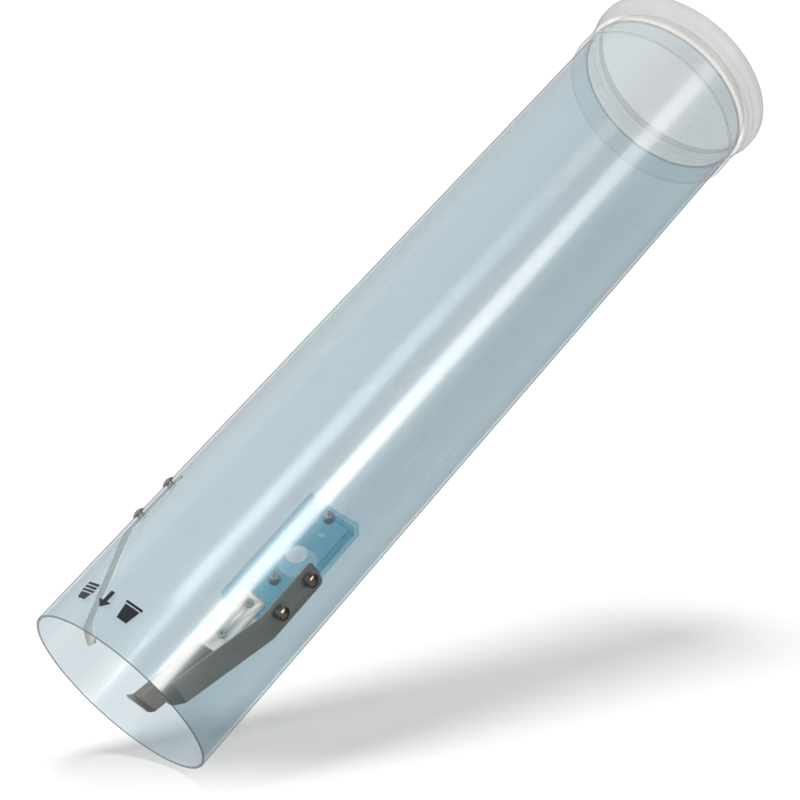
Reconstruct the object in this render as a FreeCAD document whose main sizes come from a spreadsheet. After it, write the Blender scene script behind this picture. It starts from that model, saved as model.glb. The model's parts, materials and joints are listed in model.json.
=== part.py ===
import FreeCAD, Part
import os
import re
import Sketcher

# A wall-mounted dispenser for a stack of disposable cups, in millimetres.
#
# Every sub-part is drawn about the tube's own axis: Z = 0 is the open bottom rim of the tube, +Z runs
# up to the cap and +Y points at the wall. place() then moves it to the assembly's frame, whose
# origin lies on the wall, midway between the two screw holes of the wall plate.

DIMENSIONS = (
    ("tube_diameter", 90.0, "outside of the tube"),
    ("tube_wall", 1.2, "thickness of the tube"),
    ("tube_length", 406.4, "open rim to capped end"),
    ("rim_round", 0.3, "flame-polished edges of the tube"),
    ("cap_clearance", 0.25, "radial, cap skirt over the tube"),
    ("skirt_wall", 1.35, "thickness of the cap's skirt"),
    ("skirt_bottom", 394.6, "height of the skirt's lower edge"),
    ("neck_radius", 43.9, "inside of the cap above the tube's end"),
    ("panel_bottom", 415.4, "underside of the cap's panel"),
    ("panel_wall", 1.4, "thickness of the panel"),
    ("step_radius", 46.95, "first fine step outside the cap"),
    ("step_height", 409.0, "where the first step starts"),
    ("shoulder_radius", 47.5, "second step outside the cap"),
    ("shoulder_height", 413.0, "where the second step starts"),
    ("step_slope", 1.0, "height of each step's slope"),
    ("ring_radius", 49.0, "outside of the grip ring"),
    ("ring_height", 418.0, "where the grip ring reaches full size"),
    ("ring_slope", 2.0, "height of the slope under the grip ring"),
    ("ring_draft", 1.0, "how much narrower the ring is inside, down at the panel"),
    ("ring_inside", 45.6, "inside of the ring at its top"),
    ("cap_top", 422.8, "top of the ring"),
    ("ring_round", 1.5, "rounding of the ring's top edges"),
    ("bracket_bottom", 76.5, "lower end of the channel"),
    ("bracket_length", 64.4, "length of the channel"),
    ("bracket_width", 27.5, "outside of the channel"),
    ("bracket_depth", 10.0, "tube's surface to the back of the lips"),
    ("bracket_wall", 1.6, "thickness of the channel's walls"),
    ("saddle_depth", 3.2, "how far the channel's sides wrap round the tube"),
    ("bracket_round", 0.8, "outer corners of the channel"),
    ("lip_opening", 17.0, "gap between the channel's lips"),
    ("stop_wall", 1.4, "end wall that rests on the wall plate"),
    ("head_clearance", 0.7, "round the head of the back finger's upper rivet"),
    ("hub_height", 112.5, "height of the large hole"),
    ("hub_hole", 10.5, "diameter of the large hole"),
    ("plate_window", 19.0, "opening of the wall plate behind the large hole"),
    ("wall_gap", 1.0, "wall to the back of the lips"),
    ("slide_gap", 0.35, "running gap of the wall plate in the channel"),
    ("stop_gap", 0.1, "gap above the wall plate"),
    ("head_wall", 2.5, "thickness of the wall plate's wide flange"),
    ("wall_plate_length", 60.0, "length of the wall plate"),
    ("screw_hole", 4.5, "diameter of the wall screws' holes"),
    ("screw_spacing", 44.6, "distance between the screw holes"),
    ("screw_middle", 108.0, "height midway between the screw holes"),
    ("countersink", 1.7, "width of the screw holes' countersinks"),
    ("strip_width", 12.7, "width of a finger's strip"),
    ("strip_wall", 0.6, "thickness of a finger's strip"),
    ("strip_inset", 0.55, "bore of the tube to the strip's flat outer face"),
    ("strip_round", 2.6, "rounded corners of the strip"),
    ("bend_height", 51.5, "height of the bend where a finger flexes"),
    ("bend_gap", 0.35, "each side of the bend, between plate and blade"),
    ("plate_top", 84.4, "upper end of a finger"),
    ("blade_length", 43.5, "bend to knee"),
    ("blade_tilt", 19.9, "degrees from the axis, bend to knee"),
    ("lip_length", 7.8, "knee to tip"),
    ("lip_tilt", 56.5, "degrees from the axis, knee to tip"),
    ("knee_round", 1.2, "inside radius of the knee"),
    ("rivet_low", 60.3, "lower rivet of a finger"),
    ("rivet_high", 79.2, "upper rivet of a finger"),
    ("bracket_rivet_low", 96.7, "lower rivet of the channel"),
    ("bracket_rivet_high", 136.3, "upper rivet of the channel"),
    ("rivet_hole", 3.3, "diameter of the rivets' holes"),
    ("rivet_shank", 1.6, "radius of a rivet's shank"),
    ("rivet_head", 3.0, "radius of a rivet's head"),
    ("rivet_dome", 1.5, "height of a rivet's head"),
    ("rivet_edge", 0.3, "straight edge of a rivet's head"),
    ("rivet_flat", 1.35, "radius of the flat on top of a rivet's head"),
    ("clinch_radius", 2.15, "outside of a rivet's rolled end"),
    ("clinch_height", 0.75, "height of a rivet's rolled end"),
    ("rivet_bore", 1.0, "radius of the hollow in a rivet's end"),
    ("rivet_bore_depth", 2.2, "depth of that hollow"),
    ("clinch_seat", 0.1, "rolled end of a channel rivet to the tube's bore"),
)
ALIASES = {alias for alias, size, note in DIMENSIONS}

# Directions in which the three fingers stand, in degrees about +Z from the wall's direction.
FINGERS = {"back": 0, "right": -120, "left": 120}
FINGER_RIVETS = {"low": "rivet_low", "high": "rivet_high"}
BRACKET_RIVETS = {"low": "bracket_rivet_low", "high": "bracket_rivet_high"}

TUBE_RADIUS = "tube_diameter / 2"
BORE_RADIUS = "(tube_diameter / 2 - tube_wall)"
STRIP_FACE = "(tube_diameter / 2 - tube_wall - strip_inset)"
WEB_FACE = "(tube_diameter / 2 + bracket_wall)"
LIP_BACK = "(tube_diameter / 2 + bracket_depth)"
WALL = "(tube_diameter / 2 + bracket_depth + wall_gap)"
TOUCH = 0.01
START, END, CENTRE = 1, 2, 3

doc = FreeCAD.newDocument("CupDispenser")
sheet = doc.addObject("Spreadsheet::Sheet", "Sizes")


def fill_sheet():
    for row, (alias, size, note) in enumerate(DIMENSIONS, start=1):
        sheet.set(f"A{row}", note)
        sheet.set(f"B{row}", str(size))
        sheet.setAlias(f"B{row}", alias)
    doc.recompute()


def linked(formula):
    """The formula with each alias written as a reference to the sheet's cell."""
    return re.sub(r"[a-z_]+", lambda word: f"Sizes.{word[0]}" if word[0] in ALIASES else word[0], formula)


def value(formula):
    return float(sheet.evalExpression(linked(formula)))


# Sketches


def plane_sketch(body, name, role, offset=None):
    """A sketch on one of the body's own origin planes, moved along the plane's normal by a formula."""
    sketch = body.newObject("Sketcher::SketchObject", f"{body.Name}_{name}")
    plane = next(p for p in body.Origin.OriginFeatures if p.Role == role)
    sketch.AttachmentSupport = [(plane, "")]
    sketch.MapMode = "FlatFace"
    if offset:
        sketch.setExpression("AttachmentOffset.Base.z", linked(offset))
    return sketch


def hold(sketch, geometry, point, x, y):
    """Holds a point of the geometry at two formulas' distances from the sketch's origin."""
    for direction, formula in (("DistanceX", x), ("DistanceY", y)):
        rule = Sketcher.Constraint(direction, -1, START, geometry, point, value(formula))
        index = sketch.addConstraint(rule)
        sketch.setExpression(f"Constraints[{index}]", linked(formula))


def add_outline(sketch, corners):
    """A closed outline of straight edges through corners, each a pair of formulas."""
    points = [FreeCAD.Vector(value(x), value(y), 0) for x, y in corners]
    lines = [
        sketch.addGeometry(Part.LineSegment(start, end), False)
        for start, end in zip(points, points[1:] + points[:1])
    ]
    for index, (x, y) in enumerate(corners):
        sketch.addConstraint(Sketcher.Constraint("Coincident", lines[index - 1], END, lines[index], START))
        hold(sketch, lines[index], START, x, y)


def add_circle(sketch, x, y, radius):
    middle = FreeCAD.Vector(value(x), value(y), 0)
    circle = sketch.addGeometry(Part.Circle(middle, FreeCAD.Vector(0, 0, 1), value(radius)), False)
    hold(sketch, circle, CENTRE, x, y)
    index = sketch.addConstraint(Sketcher.Constraint("Radius", circle, value(radius)))
    sketch.setExpression(f"Constraints[{index}]", linked(radius))


# Features


def new_body(name):
    body = doc.addObject("PartDesign::Body", name)
    body.Label = name
    return body


def pad(body, sketch, length, side="One side"):
    feature = body.newObject("PartDesign::Pad", f"{sketch.Name}_pad")
    feature.Profile = sketch
    feature.SideType = side
    feature.setExpression("Length", linked(length))
    doc.recompute()
    return feature


def pocket(body, sketch, depth, side="One side"):
    """Cuts against the sketch plane's normal, or both ways, and makes sure that something was cut."""
    before = body.Shape.Volume
    feature = body.newObject("PartDesign::Pocket", f"{sketch.Name}_cut")
    feature.Profile = sketch
    feature.SideType = side
    feature.setExpression("Length", linked(depth))
    doc.recompute()
    if body.Shape.Volume > before - TOUCH:
        raise RuntimeError(f"{feature.Name} cuts nothing")
    return feature


def revolve(body, sketch):
    """Turns the sketch through a full circle about its own vertical axis."""
    feature = body.newObject("PartDesign::Revolution", f"{sketch.Name}_turned")
    feature.Profile = sketch
    feature.ReferenceAxis = (sketch, ["V_Axis"])
    feature.Angle = 360
    doc.recompute()
    return feature


def dress(body, kind, size_property, size, chosen):
    """A Fillet or Chamfer of the edges of the body's tip that chosen() picks."""
    tip = body.Tip
    edges = [f"Edge{n}" for n, edge in enumerate(tip.Shape.Edges, start=1) if chosen(edge)]
    feature = body.newObject(f"PartDesign::{kind}", f"{body.Name}_{kind}")
    feature.Base = (tip, edges)
    feature.setExpression(size_property, linked(size))
    doc.recompute()
    return feature


def fillet(body, radius, chosen):
    return dress(body, "Fillet", "Radius", radius, chosen)


def near(measure, formula):
    return abs(measure - value(formula)) < TOUCH


def runs_along(edge, axis):
    """True for a straight edge that lies along the named axis."""
    straight = edge.Curve.TypeId == "Part::GeomLine"
    return straight and abs(abs(edge.tangentAt(edge.FirstParameter).dot(axis)) - 1) < TOUCH


def is_ring(edge, radius):
    """True for a circular edge of that radius."""
    return edge.Curve.TypeId == "Part::GeomCircle" and near(edge.Curve.Radius, radius)


# Sub-parts


def make_tube():
    """The clear tube, with a pair of rivet holes for each finger and a pair for the channel."""
    body = new_body("tube")
    section = plane_sketch(body, "section", "XY_Plane")
    add_circle(section, "0", "0", TUBE_RADIUS)
    add_circle(section, "0", "0", BORE_RADIUS)
    pad(body, section, "tube_length")
    fillet(body, "rim_round", lambda edge: edge.Curve.TypeId == "Part::GeomCircle")

    bracket_holes = plane_sketch(body, "bracket_holes", "XZ_Plane")
    for height in BRACKET_RIVETS.values():
        add_circle(bracket_holes, "0", height, "rivet_hole / 2")
    pocket(body, bracket_holes, "tube_diameter")

    finger_holes = plane_sketch(body, "finger_holes", "XZ_Plane")
    for height in FINGER_RIVETS.values():
        add_circle(finger_holes, "0", height, "rivet_hole / 2")
    cut = pocket(body, finger_holes, "tube_diameter")

    before = body.Shape.Volume
    pattern = body.newObject("PartDesign::PolarPattern", "tube_finger_pattern")
    pattern.Originals = [cut]
    pattern.Axis = (finger_holes, ["V_Axis"])
    pattern.Angle = 360
    pattern.Occurrences = len(FINGERS)
    body.Tip = pattern
    doc.recompute()
    if body.Shape.Volume > before - TOUCH:
        raise RuntimeError("the pattern of finger holes cuts nothing")
    return body


def make_cap():
    """The press-on cap: a skirt round the tube, a shoulder on its end, a panel and a grip ring."""
    body = new_body("cap")
    profile = plane_sketch(body, "profile", "XZ_Plane")
    skirt_inside = f"{TUBE_RADIUS} + cap_clearance"
    skirt_outside = f"{TUBE_RADIUS} + cap_clearance + skirt_wall"
    panel_top = "panel_bottom + panel_wall"
    add_outline(
        profile,
        [
            (skirt_inside, "skirt_bottom"),
            (skirt_outside, "skirt_bottom"),
            (skirt_outside, "step_height"),
            ("step_radius", "step_height + step_slope"),
            ("step_radius", "shoulder_height"),
            ("shoulder_radius", "shoulder_height + step_slope"),
            ("shoulder_radius", "ring_height - ring_slope"),
            ("ring_radius", "ring_height"),
            ("ring_radius", "cap_top"),
            ("ring_inside", "cap_top"),
            ("ring_inside - ring_draft", panel_top),
            ("0", panel_top),
            ("0", "panel_bottom"),
            ("neck_radius", "panel_bottom"),
            ("neck_radius", "tube_length"),
            (skirt_inside, "tube_length"),
        ],
    )
    revolve(body, profile)

    def at_the_top(edge):
        return edge.Curve.TypeId == "Part::GeomCircle" and near(edge.Curve.Center.z, "cap_top")

    fillet(body, "ring_round", at_the_top)
    return body


def make_bracket():
    """The channel: a web with a saddle for the tube, two flanges with lips and an end wall at the top."""
    body = new_body("bracket")
    half = "bracket_width / 2"
    inside = "bracket_width / 2 - bracket_wall"
    front = "tube_diameter / 2 - saddle_depth"
    lip_face = f"{LIP_BACK} - bracket_wall"
    section = plane_sketch(body, "section", "XY_Plane", "bracket_bottom")
    right_side = [
        (half, front),
        (half, LIP_BACK),
        ("lip_opening / 2", LIP_BACK),
        ("lip_opening / 2", lip_face),
        (inside, lip_face),
        (inside, WEB_FACE),
    ]
    left_side = [(f"-({x})", y) for x, y in reversed(right_side)]
    add_outline(section, right_side + left_side)
    pad(body, section, "bracket_length")

    top = plane_sketch(body, "stop", "XY_Plane", "bracket_bottom + bracket_length - stop_wall")
    left = f"-({half})"
    add_outline(top, [(half, front), (half, lip_face), (left, lip_face), (left, front)])
    pad(body, top, "stop_wall")

    def outer_corner(edge):
        middle = edge.CenterOfMass
        return runs_along(edge, FreeCAD.Vector(0, 0, 1)) and near(middle.y, LIP_BACK)

    fillet(body, "bracket_round", lambda edge: outer_corner(edge) and near(abs(edge.CenterOfMass.x), half))

    saddle = plane_sketch(body, "saddle", "XY_Plane", "bracket_bottom + bracket_length")
    add_circle(saddle, "0", "0", TUBE_RADIUS)
    pocket(body, saddle, "bracket_length")

    holes = plane_sketch(body, "holes", "XZ_Plane")
    for height in BRACKET_RIVETS.values():
        add_circle(holes, "0", height, "rivet_hole / 2")
    add_circle(holes, "0", "hub_height", "hub_hole / 2")
    add_circle(holes, "0", "rivet_high", "rivet_head + head_clearance")
    pocket(body, holes, "tube_diameter")
    return body


def make_wall_plate():
    """The T-shaped plate screwed to the wall, which the channel slides down over."""
    body = new_body("wall_plate")
    neck = "lip_opening / 2 - slide_gap"
    head = "bracket_width / 2 - bracket_wall - slide_gap"
    head_back = f"{LIP_BACK} - bracket_wall - slide_gap"
    head_front = f"{head_back} - head_wall"
    bottom = "bracket_bottom + bracket_length - stop_wall - stop_gap - wall_plate_length"
    section = plane_sketch(body, "section", "XY_Plane", bottom)
    right_side = [(head, head_front), (head, head_back), (neck, head_back), (neck, WALL)]
    left_side = [(f"-({x})", y) for x, y in reversed(right_side)]
    add_outline(section, right_side + left_side)
    pad(body, section, "wall_plate_length")

    holes = plane_sketch(body, "holes", "XZ_Plane")
    for side in ("-", "+"):
        add_circle(holes, "0", f"screw_middle {side} screw_spacing / 2", "screw_hole / 2")
    add_circle(holes, "0", "hub_height", "plate_window / 2")
    pocket(body, holes, WALL)

    def mouth(edge):
        return is_ring(edge, "screw_hole / 2") and near(edge.Curve.Center.y, head_front)

    dress(body, "Chamfer", "Size", "countersink", mouth)
    return body


def make_finger_plate(side):
    """The flat riveted end of a finger's strip, against the bore of the tube."""
    body = new_body(f"finger_plate_{side}")
    half = "strip_width / 2"
    face = plane_sketch(body, "face", "XZ_Plane", f"-{STRIP_FACE}")
    bottom = "bend_height + bend_gap"
    add_outline(face, [(f"-{half}", bottom), (half, bottom), (half, "plate_top"), (f"-{half}", "plate_top")])
    for height in FINGER_RIVETS.values():
        add_circle(face, "0", height, "rivet_hole / 2")
    pad(body, face, "strip_wall")

    def top_corner(edge):
        return runs_along(edge, FreeCAD.Vector(0, 1, 0)) and near(edge.CenterOfMass.z, "plate_top")

    fillet(body, "strip_round", top_corner)
    return body


def make_finger_blade(side):
    """The sprung end of a finger's strip: a blade down to the knee and a short lip past it."""
    body = new_body(f"finger_blade_{side}")
    start = (
        f"{STRIP_FACE} - bend_gap * sin(blade_tilt)",
        "bend_height - bend_gap * cos(blade_tilt)",
    )
    knee = (
        f"{STRIP_FACE} - blade_length * sin(blade_tilt)",
        "bend_height - blade_length * cos(blade_tilt)",
    )
    tip = (f"{knee[0]} - lip_length * sin(lip_tilt)", f"{knee[1]} - lip_length * cos(lip_tilt)")
    mitre = "(blade_tilt + lip_tilt) / 2"
    mitre_wall = "strip_wall / cos((lip_tilt - blade_tilt) / 2)"
    profile = plane_sketch(body, "profile", "YZ_Plane")
    add_outline(
        profile,
        [
            start,
            knee,
            tip,
            inner_corner(tip, "strip_wall", "lip_tilt"),
            inner_corner(knee, mitre_wall, mitre),
            inner_corner(start, "strip_wall", "blade_tilt"),
        ],
    )
    pad(body, profile, "strip_width", "Symmetric")
    inner_knee = FreeCAD.Vector(0, *(value(c) for c in inner_corner(knee, mitre_wall, mitre)))
    outer_knee = FreeCAD.Vector(0, *(value(c) for c in knee))

    def crosses(point):
        return lambda edge: (
            runs_along(edge, FreeCAD.Vector(1, 0, 0)) and edge.CenterOfMass.distanceToPoint(point) < TOUCH
        )

    fillet(body, "knee_round", crosses(inner_knee))
    fillet(body, "knee_round + strip_wall", crosses(outer_knee))
    tip_point = FreeCAD.Vector(value("strip_width / 2"), *(value(c) for c in tip))

    def tip_corner(edge):
        middle = edge.CenterOfMass
        middle.x = abs(middle.x)
        thin = near(edge.Length, "strip_wall")
        return thin and middle.distanceToPoint(tip_point) < value("strip_wall")

    fillet(body, "strip_round", tip_corner)
    return body


def inner_corner(point, wall, tilt):
    """The point moved through the strip, from its outer face to its inner one."""
    return (f"{point[0]} - {wall} * cos({tilt})", f"{point[1]} + {wall} * sin({tilt})")


def make_rivet(name, grip):
    """A semi-tubular rivet along +Y: its head's underside is at Y = 0, its rolled end past -grip."""
    body = new_body(name)
    end = f"-({grip})"
    profile = plane_sketch(body, "profile", "XY_Plane")
    add_outline(
        profile,
        [
            ("0", "rivet_dome"),
            ("rivet_flat", "rivet_dome"),
            ("rivet_head", "rivet_edge"),
            ("rivet_head", "0"),
            ("rivet_shank", "0"),
            ("rivet_shank", end),
            ("clinch_radius", end),
            ("clinch_radius", f"{end} - clinch_height / 2"),
            ("(clinch_radius + rivet_bore) / 2", f"{end} - clinch_height"),
            ("rivet_bore", f"{end} - clinch_height / 2"),
            ("rivet_bore", f"{end} - clinch_height / 2 + rivet_bore_depth"),
            ("0", f"{end} - clinch_height / 2 + rivet_bore_depth"),
        ],
    )
    revolve(body, profile)
    return body


# Assembly


def place(body, turn=0.0, radius="0", height="0"):
    """Turns the body about the tube's axis and moves it to the assembly's frame."""
    to_origin = FreeCAD.Placement(
        FreeCAD.Vector(0, -value(WALL), -value("screw_middle")), FreeCAD.Rotation()
    )
    about_axis = FreeCAD.Placement(
        FreeCAD.Vector(), FreeCAD.Rotation(FreeCAD.Vector(0, 0, 1), turn)
    )
    outwards = FreeCAD.Placement(
        FreeCAD.Vector(0, value(radius), value(height)), FreeCAD.Rotation()
    )
    body.Placement = to_origin * about_axis * outwards
    return body


def build():
    """Makes every sub-part in its place and returns their bodies."""
    bodies = [place(make()) for make in (make_tube, make_cap, make_bracket, make_wall_plate)]
    for side, turn in FINGERS.items():
        bodies.append(place(make_finger_plate(side), turn))
        bodies.append(place(make_finger_blade(side), turn))
        for level, height in FINGER_RIVETS.items():
            grip = "tube_wall + strip_inset + strip_wall"
            rivet = make_rivet(f"finger_rivet_{side}_{level}", grip)
            bodies.append(place(rivet, turn, TUBE_RADIUS, height))
    for level, height in BRACKET_RIVETS.items():
        grip = "tube_wall + bracket_wall + clinch_seat"
        rivet = make_rivet(f"bracket_rivet_{level}", grip)
        bodies.append(place(rivet, 0, WEB_FACE, height))
    doc.recompute()
    return bodies


def check(bodies):
    """Stops if a feature failed, a sketch is loose or a solid isn't valid."""
    for item in doc.Objects:
        if {"Invalid", "Error"} & set(item.State):
            raise RuntimeError(f"{item.Name} failed: {item.State}")
        if item.TypeId == "Sketcher::SketchObject" and not item.FullyConstrained:
            raise RuntimeError(f"{item.Name} is not fully constrained")
    for body in bodies:
        shape = body.Shape
        if shape.isNull() or not shape.isValid() or len(shape.Solids) != 1:
            raise RuntimeError(f"{body.Label} is not one valid solid")


def write(bodies):
    os.makedirs("parts", exist_ok=True)
    for body in bodies:
        body.Shape.exportStep(os.path.join("parts", f"{body.Label}.step"))
        print(f"{body.Label}: {body.Shape.Volume:.1f} mm3")


fill_sheet()
bodies = build()
check(bodies)
write(bodies)
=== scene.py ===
import json
import math

import bmesh
import bpy
from mathutils import Matrix, Vector, noise


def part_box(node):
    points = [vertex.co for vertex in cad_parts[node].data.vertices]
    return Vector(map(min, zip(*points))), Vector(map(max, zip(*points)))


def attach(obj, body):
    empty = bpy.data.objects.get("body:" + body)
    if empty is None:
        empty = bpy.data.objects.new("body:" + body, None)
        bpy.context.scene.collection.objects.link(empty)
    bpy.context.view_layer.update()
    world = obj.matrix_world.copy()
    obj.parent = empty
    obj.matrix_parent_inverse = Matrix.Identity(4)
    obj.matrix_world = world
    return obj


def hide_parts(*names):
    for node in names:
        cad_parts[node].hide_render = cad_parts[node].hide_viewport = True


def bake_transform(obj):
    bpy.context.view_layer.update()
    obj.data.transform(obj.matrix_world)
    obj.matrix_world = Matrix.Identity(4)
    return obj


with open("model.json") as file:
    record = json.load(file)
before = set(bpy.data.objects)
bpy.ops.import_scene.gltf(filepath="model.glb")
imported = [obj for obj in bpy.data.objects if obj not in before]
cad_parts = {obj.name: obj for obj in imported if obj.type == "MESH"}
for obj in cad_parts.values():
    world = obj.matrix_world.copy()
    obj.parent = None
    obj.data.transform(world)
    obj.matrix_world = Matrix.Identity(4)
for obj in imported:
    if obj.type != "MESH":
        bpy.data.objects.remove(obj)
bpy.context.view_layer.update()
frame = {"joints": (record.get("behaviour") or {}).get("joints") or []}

# A wall-hung dispenser for a stack of disposable cups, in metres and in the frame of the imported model:
# the origin on the wall, +Z up along the tube towards its cap, +Y into the wall.

MM = 0.001
TINY = 1e-7  # closer than this is the same point


def middle_of(node):
    """The middle of a node's box."""
    low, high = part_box(node)
    return (low + high) / 2


def hinge_of(side):
    """Where a finger's hinge is."""
    return next(j for j in frame["joints"] if j["name"] == f"finger_{side}_flex")["pos_m"]


# Sizes read from the frame

TUBE_LOW, TUBE_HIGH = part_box("tube")
RADIUS = (TUBE_HIGH.x - TUBE_LOW.x) / 2
AXIS = Vector((0, (TUBE_LOW.y + TUBE_HIGH.y) / 2, 0))
RIM = TUBE_LOW.z
TUBE_END = TUBE_HIGH.z
CAP_LOW, CAP_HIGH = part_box("cap")
BRACKET_LOW, BRACKET_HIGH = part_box("bracket")
PLATE_LOW, PLATE_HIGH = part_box("wall_plate")
STRIP_LOW, STRIP_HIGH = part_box("finger_plate_back")
STRIP_WIDTH = STRIP_HIGH.x - STRIP_LOW.x
STRIP_WALL = STRIP_HIGH.y - STRIP_LOW.y
STRIP_FACE = STRIP_HIGH.y - AXIS.y
BEND = hinge_of("back")[2]

# Sizes that a box doesn't give: the tube, the fingers, the channel and the wall plate

TUBE_WALL = 1.2 * MM
BORE = RADIUS - TUBE_WALL
BLADE_LENGTH = 43.5 * MM
BLADE_TILT = math.radians(19.9)
LIP_LENGTH = 7.8 * MM
LIP_TILT = math.radians(56.5)
BEND_RADIUS = 1.8 * MM
STRIP_ROUND = 2.6 * MM
CHANNEL_WALL = 1.6 * MM
PLATE_HEAD_WALL = 2.5 * MM
PLATE_NECK_HALF = 8.15 * MM

# Edges, rivets and holes, with their heights above the origin

EDGE_ROUND = 0.25 * MM
RIVET_HOLE_RADIUS = 1.65 * MM
RIVET_SLACK = 0.1 * MM
HEAD_HOLE_RADIUS = 3.7 * MM
HUB_RADIUS = 5.25 * MM
HUB_HEIGHT = 4.5 * MM
WINDOW_RADIUS = 9.5 * MM
SCREW_RADIUS = 2.25 * MM
SCREW_REACH = 22.3 * MM
COUNTERSINK = 1.7 * MM

# The printed mark, from the tube's front and its rim, and the studio

MARK_TURN = math.radians(-18)
MARK_HEIGHT = 11.5 * MM
CAMERA_TURN = 21.8  # degrees about the tube, from the front towards the right
ROOM_LIGHT = 0.25
BACKDROP_LIGHT = 1.08  # as bright as the floor under the sun and the room's light

# Directions in which the fingers stand, in degrees about +Z from the wall's direction

FINGERS = {"back": 0, "right": -120, "left": 120}
RIVET_PLACES = {
    f"finger_rivet_{side}_{level}": math.radians(turn)
    for side, turn in FINGERS.items()
    for level in ("low", "high")
}
BRACKET_RIVETS = ("bracket_rivet_low", "bracket_rivet_high")


# Meshes


def smooth(mesh):
    """Shades the mesh smooth but for its sharp edges."""
    mesh.shade_smooth()
    mesh.set_sharp_from_angle(angle=math.radians(35))


def to_object(name, shape, *materials):
    """A new object for a bmesh, which is used up."""
    mesh = bpy.data.meshes.new(name)
    shape.to_mesh(mesh)
    shape.free()
    piece = bpy.data.objects.new(name, mesh)
    bpy.context.scene.collection.objects.link(piece)
    for material in materials:
        mesh.materials.append(material)
    smooth(mesh)
    return piece


def arc(centre, radius, start, end, steps):
    """Points on a circular arc, with its angles in degrees."""
    angles = [math.radians(start + (end - start) * n / steps) for n in range(steps + 1)]
    return [(centre[0] + radius * math.cos(a), centre[1] + radius * math.sin(a)) for a in angles]


def rounded(corners, steps):
    """A closed outline through corners (x, y, radius), each corner rounded to its radius."""
    points = []
    for index, (x, y, radius) in enumerate(corners):
        here = Vector((x, y))
        if not radius:
            points.append((x, y))
            continue
        before = (Vector(corners[index - 1][:2]) - here).normalized()
        after = (Vector(corners[(index + 1) % len(corners)][:2]) - here).normalized()
        half = before.angle(after) / 2
        centre = here + (before + after).normalized() * radius / math.sin(half)
        first = here + before * radius / math.tan(half) - centre
        last = here + after * radius / math.tan(half) - centre
        turn = first.angle_signed(last)
        for step in range(steps + 1):
            spoke = Matrix.Rotation(-turn * step / steps, 2) @ first
            points.append(tuple(centre + spoke))
    return points


def lathe(profile, segments, closed, wave=None):
    """A bmesh turned about Z from points (radius, height). wave(angle, index) may shift a point."""
    mesh = bmesh.new()
    rings = []
    for index, (radius, height) in enumerate(profile):
        if radius < TINY:
            rings.append([mesh.verts.new((0, 0, height))])
            continue
        ring = []
        for step in range(segments):
            angle = math.tau * step / segments
            out, up = wave(angle, index) if wave else (0, 0)
            place = ((radius + out) * math.cos(angle), (radius + out) * math.sin(angle), height + up)
            ring.append(mesh.verts.new(place))
        rings.append(ring)
    pairs = list(zip(rings, rings[1:] + rings[:1])) if closed else list(zip(rings, rings[1:]))
    for lower, upper in pairs:
        if len(lower) == len(upper) == 1:
            continue
        for step in range(segments):
            after = (step + 1) % segments
            if len(lower) == 1:
                mesh.faces.new((lower[0], upper[after], upper[step]))
            elif len(upper) == 1:
                mesh.faces.new((lower[step], lower[after], upper[0]))
            else:
                mesh.faces.new((lower[step], lower[after], upper[after], upper[step]))
    bmesh.ops.recalc_face_normals(mesh, faces=mesh.faces[:])
    return mesh


def prism(outline, low, high):
    """A bmesh of the closed outline (x, y), extruded from low to high along Z."""
    mesh = bmesh.new()
    bottom = mesh.faces.new([mesh.verts.new((x, y, low)) for x, y in outline])
    extruded = bmesh.ops.extrude_face_region(mesh, geom=[bottom])
    top = [item for item in extruded["geom"] if isinstance(item, bmesh.types.BMVert)]
    bmesh.ops.translate(mesh, verts=top, vec=(0, 0, high - low))
    bmesh.ops.recalc_face_normals(mesh, faces=mesh.faces[:])
    return mesh


def combine(piece, cutters, operation="DIFFERENCE"):
    """Cuts the cutters out of the piece, or joins them to it, and removes them."""
    for cutter in cutters:
        modifier = piece.modifiers.new("combine", "BOOLEAN")
        modifier.operation = operation
        modifier.object = cutter
        modifier.solver = "EXACT"
    settle(piece)
    for cutter in cutters:
        bpy.data.objects.remove(cutter)


def settle(piece):
    """Applies all of the piece's modifiers."""
    evaluated = piece.evaluated_get(bpy.context.evaluated_depsgraph_get())
    mesh = bpy.data.meshes.new_from_object(evaluated)
    piece.modifiers.clear()
    piece.data = mesh
    smooth(mesh)


def soften(piece, width):
    """Rounds the piece's sharp edges."""
    bevel = piece.modifiers.new("soften", "BEVEL")
    bevel.width = width
    bevel.segments = 2
    bevel.limit_method = "ANGLE"
    bevel.angle_limit = math.radians(40)
    settle(piece)


def slice_across(mesh, point, normal):
    """Cuts the whole bmesh along a plane and keeps both sides."""
    everything = mesh.verts[:] + mesh.edges[:] + mesh.faces[:]
    bmesh.ops.bisect_plane(mesh, geom=everything, plane_co=point, plane_no=normal, dist=TINY)


def drill(radius, length, steps=48):
    """A round cutter about Z, from 0 to length."""
    return to_object("cutter", prism(arc((0, 0), radius, 0, 360 - 360 / steps, steps - 1), 0, length))


def place_outwards(piece, turn, height, radius):
    """Lays the piece's own Z along a horizontal direction out of the tube's axis, at a height and radius."""
    lying = Matrix.Rotation(-math.pi / 2, 4, "X")
    out = Matrix.Rotation(turn, 4, "Z") @ Matrix.Translation((0, radius, 0)) @ lying
    piece.data.transform(Matrix.Translation((AXIS.x, AXIS.y, height)) @ out)
    return piece


# Materials


def linear(*display):
    """A display colour of 0 to 255 as the linear colour that the nodes take."""
    return tuple((c / 255) ** 2.2 for c in display) + (1.0,)


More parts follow.
